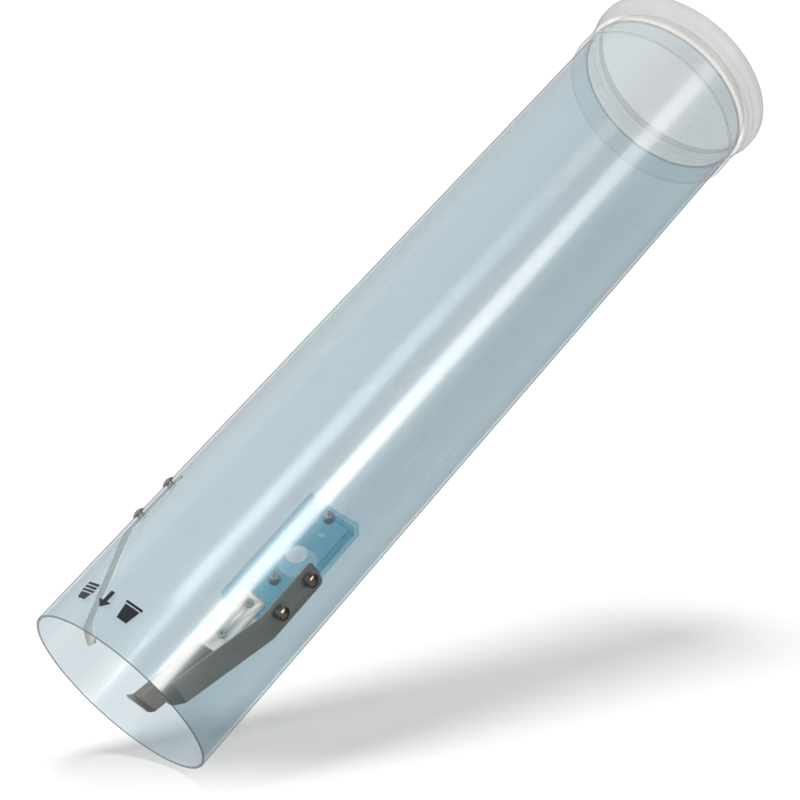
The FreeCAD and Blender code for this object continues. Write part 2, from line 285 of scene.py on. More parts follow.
class Shader:
    """Builds the nodes of one material, or those of the world."""

    def __init__(self, name, kind="Material"):
        owners = bpy.data.worlds if kind == "World" else bpy.data.materials
        self.owner = owners.new(name)
        self.owner.use_nodes = True
        self.tree = self.owner.node_tree
        self.tree.nodes.clear()
        self.output = self.tree.nodes.new("ShaderNodeOutput" + kind)

    def node(self, kind, values=None, **settings):
        """A node with its settings and its inputs, each a value or another node's output."""
        made = self.tree.nodes.new("ShaderNode" + kind)
        for name, setting in settings.items():
            setattr(made, name, setting)
        for name, setting in (values or {}).items():
            if isinstance(setting, bpy.types.NodeSocket):
                self.tree.links.new(setting, made.inputs[name])
            else:
                made.inputs[name].default_value = setting
        return made

    def math(self, operation, *values):
        """The result of one operation on values or sockets."""
        return self.node("Math", dict(enumerate(values)), operation=operation).outputs[0]

    def ranged(self, value, low, high, to_low, to_high, smooth=False):
        """The value, taken from the range low to high to the range to_low to to_high and kept in it."""
        kind = "SMOOTHSTEP" if smooth else "LINEAR"
        values = {"Value": value, "From Min": low, "From Max": high, "To Min": to_low, "To Max": to_high}
        return self.node("MapRange", values, interpolation_type=kind).outputs["Result"]

    def mixed_colour(self, share, first, second):
        """The first colour at a share of 0 and the second at 1."""
        first_input, second_input, result = 6, 7, 2  # where the node has its colours
        values = {0: share, first_input: first, second_input: second}
        return self.node("Mix", values, data_type="RGBA").outputs[result]

    def place(self):
        """The object's own coordinates, in metres."""
        return self.node("TexCoord").outputs["Object"]

    def noise(self, scale, detail, vector=None):
        """Noise that is finer along an axis the larger its scale is there."""
        place = self.place() if vector is None else vector
        stretched = self.node("Mapping", {"Vector": place, "Scale": scale}).outputs["Vector"]
        values = {"Vector": stretched, "Scale": 1.0, "Detail": detail, "Roughness": 0.5}
        return self.node("TexNoise", values).outputs[0]

    def bump(self, height, strength, distance):
        """The surface's normal, tilted by a height from 0 to 1 over a distance."""
        values = {"Height": height, "Strength": strength, "Distance": distance}
        return self.node("Bump", values).outputs["Normal"]

    def facing(self):
        """0 where the surface faces the ray and 1 where the ray grazes it."""
        return self.node("LayerWeight", {"Blend": 0.5}).outputs["Facing"]

    def mirror_share(self, facing, base, grazing=0.35):
        """How much a clear surface mirrors, from both of its sides: Schlick's curve up to grazing."""
        return self.math("MULTIPLY_ADD", self.math("POWER", facing, 5.0), grazing - base, base)

    def mix(self, share, first, second):
        """The first surface or light at a share of 0 and the second at 1."""
        return self.node("MixShader", {0: share, 1: first, 2: second}).outputs[0]

    def closure(self, kind, colour, normal):
        """A diffuse or translucent surface."""
        return self.node(kind, {"Color": colour, "Normal": normal}).outputs[0]

    def gloss(self, roughness, normal, colour=(0.8, 0.8, 0.8, 1)):
        """A mirroring surface."""
        values = {"Color": colour, "Roughness": roughness, "Normal": normal}
        return self.node("BsdfGlossy", values).outputs[0]

    def finish(self, surface):
        """Shows the surface, and gives back the material or the world."""
        self.tree.links.new(surface, self.output.inputs["Surface"])
        return self.owner


def clear_plastic(name, tint, edge_tint, haze, base_mirror, roughness, shadow_tint=(0.925, 0.925, 0.925, 1)):
    """Clear tinted plastic, with edge_tint where it's seen edge on and a darker tone painted as shade towards
    one side.

    A wall is crossed twice, and each crossing takes the tint.
    """
    shader = Shader(name)
    facing = shader.facing()
    along = shader.node("VectorMath", {0: shader.place(), 1: SHADED_SIDE}, operation="DOT_PRODUCT")
    side = shader.math("SUBTRACT", along.outputs["Value"], AXIS.dot(SHADED_SIDE))
    # thick: how much painted shade darkens the wall on that side, rising from none to full and falling back
    # to part; the wall itself is even.
    thick = shader.math(
        "MULTIPLY",
        shader.ranged(side, 0.18 * RADIUS, 0.5 * RADIUS, 0.0, 1.0, smooth=True),
        shader.ranged(side, 0.62 * RADIUS, 0.92 * RADIUS, 1.0, 0.45, smooth=True),
    )
    shade_tint = tuple(a * b for a, b in zip(tint, SHADE_TINT))
    wall = shader.mixed_colour(thick, tint, shade_tint)
    body = shader.mixed_colour(shader.ranged(facing, 0.8, 0.93, 0.0, 1.0, smooth=True), wall, edge_tint)
    in_shadow = shader.node("LightPath").outputs["Is Shadow Ray"]
    body = shader.mixed_colour(in_shadow, body, shadow_tint)
    through = shader.node("BsdfTransparent", {"Color": body}).outputs[0]

    cloud = shader.noise((30, 30, 8), detail=3)
    die_lines = shader.noise((160, 160, 1.5), detail=1)
    normal = shader.bump(die_lines, 0.02, 0.3 * MM)
    dust = shader.closure("BsdfDiffuse", linear(226, 234, 238), normal)
    dusty = shader.ranged(cloud, 0.35, 0.7, haze * 0.7, haze * 1.3)
    polish = shader.ranged(cloud, 0.3, 0.7, roughness * 0.8, roughness * 1.3)
    surface = shader.mix(dusty, through, dust)
    gloss = shader.gloss(polish, normal, colour=(1, 1, 1, 1))
    return shader.finish(shader.mix(shader.mirror_share(facing, base_mirror), surface, gloss))


def milky_plastic(name):
    """Natural polyethylene: nearly clear where it's thin, in the skirt and panel, and milky in the ring."""
    shader = Shader(name)
    facing = shader.facing()
    cloud = shader.noise((60, 60, 60), detail=4)
    flow = shader.noise((300, 300, 40), detail=2)
    normal = shader.bump(flow, 0.07, 0.15 * MM)

    # Where the plastic is: its distance from the tube's axis and its height.
    place = shader.node("VectorMath", {0: shader.place(), 1: AXIS}, operation="SUBTRACT").outputs[0]
    parts = shader.node("SeparateXYZ", {"Vector": place}).outputs
    flat = shader.node("CombineXYZ", {"X": parts["X"], "Y": parts["Y"]}).outputs[0]
    away = shader.node("VectorMath", {0: flat}, operation="LENGTH").outputs["Value"]
    upper = shader.ranged(parts["Z"], TUBE_END - 0.5 * MM, TUBE_END + 2.5 * MM, 0.0, 1.0, smooth=True)
    wide = shader.ranged(away, BORE - 4 * MM, BORE - 0.5 * MM, 0.0, 1.0, smooth=True)
    ring = shader.math("MULTIPLY", upper, wide)
    outside = shader.ranged(away, RADIUS + 0.8 * MM, RADIUS + 1.5 * MM, 0.0, 1.0)
    skirt_edge = shader.ranged(parts["Z"], CAP_LOW.z + 0.5 * MM, CAP_LOW.z + 0.8 * MM, 0.9, 0.0)
    thick = shader.math("MAXIMUM", ring, skirt_edge)

    # The light that goes straight through.
    skirt_tint = shader.mixed_colour(cloud, linear(252, 253, 253), linear(255, 255, 255))
    panel_tint = shader.mixed_colour(cloud, linear(248, 246, 245), linear(253, 251, 250))
    ring_tint = shader.mixed_colour(cloud, linear(243, 243, 242), linear(250, 250, 249))
    thin_tint = shader.mixed_colour(upper, skirt_tint, panel_tint)
    tint = shader.mixed_colour(ring, thin_tint, ring_tint)
    through = shader.node("BsdfTransparent", {"Color": tint}).outputs[0]

    # The light that the milk scatters, less where a ray leaves the plastic.
    inner_white = shader.mixed_colour(cloud, linear(246, 248, 248), linear(255, 255, 255))
    outer_white = shader.mixed_colour(cloud, linear(174, 174, 174), linear(194, 194, 193))
    white = shader.mixed_colour(outside, inner_white, outer_white)
    front = shader.closure("BsdfDiffuse", white, normal)
    back = shader.closure("BsdfTranslucent", white, normal)
    thin_milk = shader.ranged(facing, 0.72, 0.98, 0.05, 0.5, smooth=True)
    inner_milk = shader.ranged(facing, 0.0, 0.9, 0.08, 0.2)
    outer_milk = shader.ranged(facing, 0.0, 0.9, 0.32, 0.56)
    leaving = shader.node("NewGeometry").outputs["Backfacing"]
    thick_milk = shader.math(
        "MULTIPLY",
        shader.ranged(outside, 0.0, 1.0, inner_milk, outer_milk),
        shader.ranged(leaving, 0.0, 1.0, 1.0, 0.25),
    )
    milk = shader.ranged(thick, 0.0, 1.0, thin_milk, thick_milk)
    surface = shader.mix(milk, through, shader.mix(0.5, front, back))

    thin_mirror = shader.mirror_share(facing, 0.008, 0.06)
    mirror = shader.ranged(thick, 0.0, 1.0, thin_mirror, shader.mirror_share(facing, 0.025))
    gloss = shader.gloss(shader.ranged(cloud, 0.3, 0.7, 0.30, 0.42), normal)
    return shader.finish(shader.mix(mirror, surface, gloss))


def channel_plastic(name, tint, darker, lighter, milk):
    """Translucent blue plastic of the channel and the wall plate."""
    shader = Shader(name)
    facing = shader.facing()
    cloud = shader.noise((80, 80, 80), detail=4)
    lines = shader.noise((700, 700, 10), detail=3)
    normal = shader.bump(lines, 0.12, 0.1 * MM)
    through = shader.node("BsdfTransparent", {"Color": tint}).outputs[0]
    tone = shader.mixed_colour(shader.ranged(cloud, 0.3, 0.7, 0.0, 1.0), darker, lighter)
    front = shader.closure("BsdfDiffuse", tone, normal)
    back = shader.closure("BsdfTranslucent", tone, normal)
    surface = shader.mix(milk, through, shader.mix(0.5, front, back))
    gloss = shader.gloss(shader.ranged(cloud, 0.3, 0.7, 0.08, 0.16), normal)
    return shader.finish(shader.mix(shader.mirror_share(facing, 0.045), surface, gloss))


def brushed_strip(name):
    """Stainless strip with its grain along the strip, which the map named strip follows."""
    shader = Shader(name)
    along = shader.node("UVMap", uv_map="strip").outputs["UV"]
    fine = shader.noise((6000, 60, 1), detail=4, vector=along)
    broad = shader.noise((900, 25, 1), detail=3, vector=along)
    stain = shader.noise((140, 140, 140), detail=4)
    grey = shader.mixed_colour(broad, linear(204, 199, 190), linear(228, 222, 212))
    stained = shader.ranged(stain, 0.35, 0.75, 0.0, 0.35)
    values = {
        "Base Color": shader.mixed_colour(stained, grey, linear(196, 184, 168)),
        "Metallic": 1.0,
        "Roughness": shader.ranged(broad, 0.25, 0.75, 0.26, 0.42),
        "Normal": shader.bump(fine, 0.25, 0.03 * MM),
    }
    return shader.finish(shader.node("BsdfPrincipled", values).outputs[0])


def tumbled_steel(name, dark, light):
    """Rivet steel with small dents from tumbling."""
    shader = Shader(name)
    dents = shader.noise((1600, 1600, 1600), detail=2)
    stain = shader.noise((500, 500, 500), detail=4)
    values = {
        "Base Color": shader.mixed_colour(stain, dark, light),
        "Metallic": 1.0,
        "Roughness": shader.ranged(stain, 0.3, 0.7, 0.12, 0.26),
        "Normal": shader.bump(dents, 0.3, 0.04 * MM),
    }
    return shader.finish(shader.node("BsdfPrincipled", values).outputs[0])


def print_ink(name):
    """Black screen-print ink, a little uneven."""
    shader = Shader(name)
    speckle = shader.noise((4000, 4000, 4000), detail=2)
    values = {
        "Base Color": shader.mixed_colour(speckle, linear(12, 15, 16), linear(34, 38, 40)),
        "Roughness": shader.ranged(speckle, 0.3, 0.7, 0.35, 0.55),
        "Normal": shader.bump(speckle, 0.2, 0.01 * MM),
    }
    return shader.finish(shader.node("BsdfPrincipled", values).outputs[0])


# The side of the tube that takes painted shade, and the tint of that painted shade.
SHADED_SIDE = Vector((math.cos(math.radians(CAMERA_TURN)), math.sin(math.radians(CAMERA_TURN)), 0))
SHADE_TINT = (0.947, 0.962, 0.966, 1)
WALL_TINT = (0.848, 0.888, 0.906, 1)
CLEAR = clear_plastic(
    "clear_blue", WALL_TINT, edge_tint=(0.45, 0.52, 0.56, 1), haze=0.015, base_mirror=0.05, roughness=0.09
)
BORE_FACE = clear_plastic(
    "clear_blue_bore", WALL_TINT, edge_tint=WALL_TINT, haze=0.015, base_mirror=0.11, roughness=0.22
)
CUT_EDGE = clear_plastic(
    "clear_blue_edge",
    (0.30, 0.37, 0.40, 1),
    edge_tint=(0.16, 0.20, 0.23, 1),
    haze=0.2,
    base_mirror=0.04,
    roughness=0.12,
    shadow_tint=(0.6, 0.6, 0.6, 1),
)
SAWN_END = clear_plastic(
    "clear_blue_sawn",
    (0.72, 0.76, 0.78, 1),
    edge_tint=(0.54, 0.58, 0.60, 1),
    haze=0.3,
    base_mirror=0.03,
    roughness=0.3,
)
MILKY = milky_plastic("milky_poly")
BLUE = channel_plastic(
    "blue_channel",
    tint=(0.765, 0.930, 0.972, 1),
    darker=linear(126, 192, 218),
    lighter=linear(152, 208, 230),
    milk=0.07,
)
STRIP = brushed_strip("strip_steel")
RIVET = tumbled_steel("rivet_steel", dark=linear(186, 182, 178), light=linear(232, 229, 225))
# The rivet heads take a darker copy of the same steel: painted shade.
SHADED_RIVET_HEAD = tumbled_steel("rivet_steel_shaded_head", dark=linear(96, 88, 82), light=linear(150, 140, 132))
INK = print_ink("print_ink")


# Tube


def make_tube():
    """The extruded tube: polished at its open rim, saw-cut at the capped end, drilled for its rivets."""
    polish = 0.3 * MM
    near_end = 0.5 * MM
    burr = 0.1 * MM
    length = TUBE_END - RIM
    # Rings of faces, closest together along the stretch that is drilled.
    heights = [polish, 2 * MM, 6 * MM, 12 * MM, 20 * MM, 30 * MM, 40 * MM, 50 * MM]
    heights += [(56 + 2 * n) * MM for n in range(44)]
    heights += [(150 + 25 * n) * MM for n in range(11)]
    heights.append(length - near_end)
    outer = [(RADIUS, h) for h in heights]
    inner = [(BORE, h) for h in reversed(heights)]
    rim_outer = arc((RADIUS - polish, polish), polish, 270, 360, 3)[:-1]
    rim_inner = arc((BORE + polish, polish), polish, 180, 270, 3)[1:]
    end = [(RADIUS, length - burr), (RADIUS - burr, length), (BORE + burr, length), (BORE, length - burr)]
    profile = rim_outer + outer + end + inner + rim_inner
    first_cut = len(rim_outer) + len(outer)
    cut_rings = set(range(first_cut, first_cut + len(end)))

    def saw_marks(angle, index):
        """How far the saw has chipped the end at an angle."""
        if index not in cut_rings:
            return 0, 0
        around = Vector((math.cos(angle), math.sin(angle), 0))
        chips = noise.noise(around * 14) + 0.6 * noise.noise(around * 47)
        return 0, -0.35 * MM * abs(chips)

    mesh = lathe(profile, segments=288, closed=True, wave=saw_marks)
    for face in mesh.faces:
        middle = face.calc_center_median()
        at_rim = middle.z < polish * 0.98
        at_end = middle.z > length - near_end
        inside = middle.xy.length < RADIUS - TUBE_WALL / 2
        face.material_index = 1 if at_rim else 3 if at_end else 2 if inside else 0
    tube = to_object("clear_tube", mesh, CLEAR, CUT_EDGE, BORE_FACE, SAWN_END)
    tube.data.transform(Matrix.Translation((AXIS.x, AXIS.y, RIM)))
    through_wall = 4 * MM
    inside_bore = BORE - 1.4 * MM
    turns = {**RIVET_PLACES, **dict.fromkeys(BRACKET_RIVETS, 0)}
    combine(
        tube,
        [
            place_outwards(drill(RIVET_HOLE_RADIUS, through_wall), turn, middle_of(node).z, inside_bore)
            for node, turn in turns.items()
        ],
    )
    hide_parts("tube")
    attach(tube, "dispenser")


# Cap


def make_cap():
    """The moulded cap: a skirt on the tube, fine steps, a grip ring and a panel set down inside it."""
    inside = RADIUS + 0.25 * MM
    skirt = inside + 1.35 * MM
    ring = (CAP_HIGH.x - CAP_LOW.x) / 2
    skirt_edge = CAP_LOW.z
    top = CAP_HIGH.z
    panel_low = TUBE_END + 9.0 * MM
    panel_high = panel_low + 1.4 * MM
    step = 0.35 * MM
    shoulder = skirt + 0.9 * MM
    # Corners (radius, height, rounding): up the outside, over the ring, in to the axis and back out.
    corners = [
        (inside, skirt_edge, 0.3 * MM),
        (skirt, skirt_edge, 0.5 * MM),
        (skirt, TUBE_END + 2.6 * MM, 0.4 * MM),
        (skirt + step, TUBE_END + 3.2 * MM, 0.2 * MM),
        (skirt + step, TUBE_END + 4.6 * MM, 0.2 * MM),
        (skirt + step * 0.6, TUBE_END + 4.9 * MM, 0.15 * MM),
        (skirt + step * 0.6, TUBE_END + 5.5 * MM, 0.15 * MM),
        (skirt + step, TUBE_END + 5.8 * MM, 0.15 * MM),
        (skirt + step, TUBE_END + 6.6 * MM, 0.2 * MM),
        (shoulder, TUBE_END + 7.3 * MM, 0.2 * MM),
        (shoulder, TUBE_END + 9.2 * MM, 0.2 * MM),
        (ring - 0.4 * MM, TUBE_END + 11.2 * MM, 0.3 * MM),
        (ring, TUBE_END + 11.9 * MM, 0.3 * MM),
        (ring, TUBE_END + 13.2 * MM, 0.2 * MM),
        (ring - 0.25 * MM, TUBE_END + 13.5 * MM, 0.1 * MM),
        (ring, TUBE_END + 13.8 * MM, 0.1 * MM),
        (ring, top, 1.5 * MM),
        (ring - 3.4 * MM, top, 1.4 * MM),
        (ring - 4.0 * MM, panel_high + 0.9 * MM, 0.4 * MM),
        (ring - 5.0 * MM, panel_high, 0.4 * MM),
        (0, panel_high, 0),
        (0, panel_low, 0),
        (BORE - 1.9 * MM, panel_low, 0.8 * MM),
        (BORE - 1.1 * MM, panel_low - 1.6 * MM, 0.3 * MM),
        (BORE - 0.5 * MM, panel_low - 2.0 * MM, 0.3 * MM),
        (BORE - 0.4 * MM, panel_low - 4.6 * MM, 0.2 * MM),
        (BORE + 0.1 * MM, panel_low - 5.0 * MM, 0.2 * MM),
        (BORE + 0.1 * MM, TUBE_END + 0.1 * MM, 0.2 * MM),
        (inside, TUBE_END + 0.1 * MM, 0.2 * MM),
    ]
    mesh = lathe(rounded(corners, 3), segments=256, closed=True)
    bmesh.ops.remove_doubles(mesh, verts=mesh.verts[:], dist=TINY)
    cap = to_object("milky_cap", mesh, MILKY)
    cap.data.transform(Matrix.Translation(AXIS))
    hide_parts("cap")
    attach(cap, "lid")


# Bracket and wall plate


def make_bracket():
    """The channel on the tube's back, open at its lower end and closed at its upper end."""
    half = (BRACKET_HIGH.x - BRACKET_LOW.x) / 2
    inside = half - CHANNEL_WALL
    lip_back = BRACKET_HIGH.y - AXIS.y
    lip_face = lip_back - CHANNEL_WALL
    lip_edge = 8.5 * MM
    web = RADIUS + CHANNEL_WALL
    corner = 0.8 * MM
    off_tube = 0.02 * MM
    reach = math.degrees(math.asin(half / RADIUS))
    saddle = arc((0, 0), RADIUS + off_tube, 90 - reach, 90 + reach, 24)
    outer_corner = arc((half - corner, lip_back - corner), corner, 90, 0, 5)
    right_lip = [(lip_edge, lip_face), (lip_edge, lip_back)] + outer_corner
    left_lip = [(-x, y) for x, y in reversed(right_lip)]
    inner = [(-inside, lip_face), (-inside, web), (inside, web), (inside, lip_face)]
    outline = right_lip + saddle + left_lip + inner
    channel = to_object("blue_bracket", prism(outline, BRACKET_LOW.z, BRACKET_HIGH.z), BLUE)

    stop = 1.4 * MM
    bite = 0.3 * MM
    edge = inside + bite
    wall = [(edge, web - bite), (edge, lip_face), (-edge, lip_face), (-edge, web - bite)]
    end_wall = to_object("end_wall", prism(wall, BRACKET_HIGH.z - stop, BRACKET_HIGH.z), BLUE)
    combine(channel, [end_wall], "UNION")
    channel.data.transform(Matrix.Translation(AXIS))

    holes = [(RIVET_HOLE_RADIUS, middle_of(node).z) for node in BRACKET_RIVETS]
    holes.append((HEAD_HOLE_RADIUS, middle_of("finger_rivet_back_high").z))
    holes.append((HUB_RADIUS, HUB_HEIGHT))
    through_web = 6 * MM
    combine(
        channel,
        [place_outwards(drill(radius, through_web), 0, height, RADIUS - MM) for radius, height in holes],
    )
    soften(channel, EDGE_ROUND)
    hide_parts("bracket")
    channel.visible_shadow = False
    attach(channel, "dispenser")


def make_wall_plate():
    """The T-shaped plate that stays on the wall, with two countersunk screw holes."""
    head = PLATE_HIGH.x
    front = PLATE_LOW.y - AXIS.y
    back = front + PLATE_HEAD_WALL
    wall = PLATE_HIGH.y - AXIS.y
    right = [(head, front), (head, back), (PLATE_NECK_HALF, back), (PLATE_NECK_HALF, wall)]
    left = [(-x, y) for x, y in reversed(right)]
    plate = to_object("wall_plate_t", prism(right + left, PLATE_LOW.z, PLATE_HIGH.z), BLUE)
    plate.data.transform(Matrix.Translation(AXIS))

    ahead = 2 * MM
    beyond = 10 * MM
    window = drill(WINDOW_RADIUS, ahead + beyond, steps=96)
    cutters = [place_outwards(window, 0, HUB_HEIGHT, front - ahead)]
    cone = [
        (0, -ahead),
        (SCREW_RADIUS + COUNTERSINK + ahead, -ahead),
        (SCREW_RADIUS, COUNTERSINK),
        (SCREW_RADIUS, beyond),
        (0, beyond),
    ]
    for height in (-SCREW_REACH, SCREW_REACH):
        bit = to_object("cutter", lathe(cone, segments=48, closed=False))
        cutters.append(place_outwards(bit, 0, height, front))
    combine(plate, cutters)
    soften(plate, EDGE_ROUND)
    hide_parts("wall_plate")
    plate.visible_shadow = False
    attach(plate, "wall_mount")


# Fingers


def strip_blank(length):
    """The flat blank of a finger, punched and deburred: X across it, Y down from its top, Z through it."""
    half = STRIP_WIDTH / 2
    corners = [(x, y, STRIP_ROUND) for x, y in ((-half, 0), (half, 0), (half, length), (-half, length))]
    blank = to_object("blank", prism(rounded(corners, 8), 0, STRIP_WALL), STRIP)
    punch_reach = 2 * MM
    cutters = []
    for level in ("low", "high"):
        down = STRIP_HIGH.z - middle_of(f"finger_rivet_back_{level}").z
        cutter = drill(RIVET_HOLE_RADIUS, 2 * punch_reach)
        cutter.data.transform(Matrix.Translation((0, down, -punch_reach)))
        cutters.append(cutter)
    combine(blank, cutters)
    soften(blank, 0.08 * MM)
    return blank


def bent(distance):
    """Where the strip's outer face is at a distance down it: radius, height and tilt from the axis."""
    plate = STRIP_HIGH.z - BEND
    legs = [(plate, 0.0), (BLADE_LENGTH, BLADE_TILT), (LIP_LENGTH, LIP_TILT)]
    radius, height = STRIP_FACE, STRIP_HIGH.z
    cut_before = 0.0
    for index, (leg, tilt) in enumerate(legs):
        turn = legs[index + 1][1] - tilt if index + 1 < len(legs) else 0.0
        cut_after = BEND_RADIUS * math.tan(turn / 2)
        straight = leg - cut_before - cut_after
        if distance <= straight or not turn:
            return radius - distance * math.sin(tilt), height - distance * math.cos(tilt), tilt
        radius -= straight * math.sin(tilt)
        height -= straight * math.cos(tilt)
        distance -= straight
        part = min(distance / BEND_RADIUS, turn)
        centre_r = radius - BEND_RADIUS * math.cos(tilt)
        centre_z = height + BEND_RADIUS * math.sin(tilt)
        radius = centre_r + BEND_RADIUS * math.cos(tilt + part)
        height = centre_z - BEND_RADIUS * math.sin(tilt + part)
        if part < turn:
            return radius, height, tilt + part
        distance -= BEND_RADIUS * turn
        cut_before = cut_after
    return radius, height, tilt


def strip_length():
    """The blank's length, with each corner's two tangents swapped for its arc."""
    length = STRIP_HIGH.z - BEND + BLADE_LENGTH + LIP_LENGTH
    for turn in (BLADE_TILT, LIP_TILT - BLADE_TILT):
        length += BEND_RADIUS * (turn - 2 * math.tan(turn / 2))
    return length


def make_finger(side, turn):
    """One strip, bent from its flat blank: a riveted plate, a blade and a lip."""
    strip = strip_blank(strip_length())
    strip.name = f"finger_{side}_strip"
    mesh = bmesh.new()
    mesh.from_mesh(strip.data)
    plate = STRIP_HIGH.z - BEND
    first = plate - BEND_RADIUS * math.tan(BLADE_TILT / 2)
    second = strip_length() - LIP_LENGTH + BEND_RADIUS * math.tan((LIP_TILT - BLADE_TILT) / 2)
    # Cuts across the blank, close together where it bends.
    cuts = [first + BEND_RADIUS * BLADE_TILT * n / 6 for n in range(-2, 9)]
    knee_arc = BEND_RADIUS * (LIP_TILT - BLADE_TILT)
    cuts += [second - knee_arc + knee_arc * n / 10 for n in range(11)]
    for down in cuts:
        slice_across(mesh, (0, down, 0), (0, 1, 0))
    grain = mesh.loops.layers.uv.new("strip")
    for face in mesh.faces:
        for loop in face.loops:
            loop[grain].uv = (loop.vert.co.x + loop.vert.co.z, loop.vert.co.y)
    for vert in mesh.verts:
        across, down, depth = vert.co
        radius, height, tilt = bent(down)
        vert.co = (across, radius - depth * math.cos(tilt), height + depth * math.sin(tilt))
    bmesh.ops.recalc_face_normals(mesh, faces=mesh.faces[:])
    mesh.to_mesh(strip.data)
    mesh.free()
    strip.data.transform(Matrix.Translation(AXIS) @ Matrix.Rotation(turn, 4, "Z"))
    smooth(strip.data)
    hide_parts(f"finger_plate_{side}", f"finger_blade_{side}")
    strip.visible_shadow = False
    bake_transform(strip)
    return strip


# Rivets


def make_rivet(name, turn, underside, grip):
    """A semi-tubular rivet: its domed head sits at a radius, and its rolled, split end a grip further in."""
    head, edge, dome, chamfer = 3.0 * MM, 0.35 * MM, 1.5 * MM, 0.1 * MM
    shank, roll, bore, roll_height = 1.6 * MM, 2.15 * MM, 1.0 * MM, 0.75 * MM
    bore_depth, bore_cone = 1.4 * MM, 0.2 * MM
    split_in, split_up = 0.28 * MM, 0.22 * MM
    crown_radius = (head * head + (dome - edge) ** 2) / (2 * (dome - edge))
    reach = math.degrees(math.asin(head / crown_radius))
    crown = arc((0, dome - crown_radius), crown_radius, 90, 90 - reach, 10)
    shoulder = [(head, edge / 2), (head - chamfer, 0)]
    rolled = arc((roll - roll_height / 2, -grip - roll_height / 2), roll_height / 2, 90, -90, 6)
    mouth = arc((bore, -grip - roll_height / 2 - 0.1 * MM), roll_height / 2, -60, -180, 5)
    bottom = [(bore * 0.62, -grip + bore_depth), (0, -grip + bore_depth + bore_cone)]
    profile = crown + shoulder + [(shank, 0), (shank, -grip)] + rolled + mouth + bottom
    first = len(crown) + len(shoulder) + 2
    last = first + len(rolled) + len(mouth)

    def splits(angle, index):
        """How far the rolled end's five petals draw in at an angle."""
        if not first <= index < last:
            return 0, 0
        petal = abs(math.cos(2.5 * angle)) ** 0.4
        return -split_in * (1 - petal), split_up * (1 - petal)

    mesh = lathe(profile, segments=80, closed=False, wave=splits)
    # Faces above the strip, the domed head, take the darker steel of painted shade.
    for face in mesh.faces:
        face.material_index = 1 if face.calc_center_median().z > 0 else 0
    rivet = to_object(f"{name}_turned", mesh, RIVET, SHADED_RIVET_HEAD)
    place_outwards(rivet, turn, middle_of(name).z, underside)
    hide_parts(name)
    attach(rivet, "dispenser")
    return rivet


# Printed mark


def cup_outline(width, height, bar, gap):
    """Outlines of a cup seen from the side: a rim bar over a solid, tapered body."""
    half, foot = width / 2, width * 0.34
    rim_half = half + bar / 2
    below = height - bar - gap
    rim = [(-rim_half, height), (rim_half, height), (rim_half, height - bar), (-rim_half, height - bar)]
    body = [(-half, below), (half, below), (foot, 0), (-foot, 0)]
    return [rim, body]


def make_mark():
    """Stacked cups, an arrow down and one cup: how to take a cup, with no lettering."""
    tall, bar, gap = 8.4 * MM, 1.1 * MM, 0.55 * MM
    shapes = []

    def add(outlines, across, up=0.0):
        """Adds outlines moved across and up."""
        for outline in outlines:
            shapes.append([(x + across, y + up) for x, y in outline])

    spacing = 12.0 * MM
    slice_wide, slice_foot, slice_high, pitch = 3.9 * MM, 3.7 * MM, 1.2 * MM, 1.75 * MM
    for level in (0, 1):
        nested = [(-slice_wide, slice_high), (slice_wide, slice_high), (slice_foot, 0), (-slice_foot, 0)]
        add([nested], -spacing, tall - slice_high - level * pitch)
    add(cup_outline(6.8 * MM, tall - 3.5 * MM, bar, gap), -spacing)
    stem, head = 1.1 * MM, 3.4 * MM
    arrow = [(-stem, tall), (stem, tall), (stem, head), (head, head), (0, 0), (-head, head), (-stem, head)]
    add([arrow], 0)
    add(cup_outline(7.4 * MM, tall, bar, gap), spacing)
    mesh = bmesh.new()
    for outline in shapes:
        mesh.faces.new([mesh.verts.new((x, 0, y)) for x, y in outline])
    # Narrow slices, so that the print follows the tube's curve.
    for step in range(-40, 41):
        slice_across(mesh, (step * 0.5 * MM, 0, 0), (1, 0, 0))
    bmesh.ops.recalc_face_normals(mesh, faces=mesh.faces[:])
    top = bmesh.ops.extrude_face_region(mesh, geom=mesh.faces[:])
    ink, off_tube = 0.03 * MM, 0.01 * MM
    for item in top["geom"]:
        if isinstance(item, bmesh.types.BMVert):
            item.co.y -= ink
    bmesh.ops.recalc_face_normals(mesh, faces=mesh.faces[:])
    for vert in mesh.verts:
        angle = MARK_TURN + vert.co.x / RADIUS
        radius = RADIUS + off_tube - vert.co.y
        vert.co = (radius * math.sin(angle), AXIS.y - radius * math.cos(angle), RIM + MARK_HEIGHT + vert.co.z)
    mark = to_object("printed_mark", mesh, INK)
    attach(mark, "dispenser")


# Camera, lights and floor


def aim_camera():
    """The camera looks up into the open end from the front right, rolled so that the tube leans."""
    azimuth = math.radians(CAMERA_TURN)
    distance = 0.7977  # from the tube's axis
    drop = 0.2035  # below the open rim
    camera = bpy.data.objects.new("camera", bpy.data.cameras.new("camera"))
    bpy.context.scene.collection.objects.link(camera)
    camera.location = (
        AXIS.x + distance * math.sin(azimuth),
        AXIS.y - distance * math.cos(azimuth),
        RIM - drop,
    )
    yaw = azimuth - math.radians(0.351)
    pitch = math.radians(90 + 25.92)
    roll = math.radians(42.07)
    look = Matrix.Rotation(yaw, 4, "Z") @ Matrix.Rotation(pitch, 4, "X") @ Matrix.Rotation(roll, 4, "Z")
    camera.rotation_euler = look.to_euler()
    camera.data.lens = 88.9
    camera.data.sensor_width = 36
    camera.data.clip_start = 0.01
    bpy.context.scene.camera = camera
    return look


def facing_frame(target, direction, distance, long_axis):
    """A place that faces the target from a direction, with its Y along long_axis."""
    back = direction.normalized()
    across = long_axis.cross(back).normalized()
    along = back.cross(across).normalized()
    return Matrix.Translation(target + back * distance) @ Matrix((across, along, back)).transposed().to_4x4()


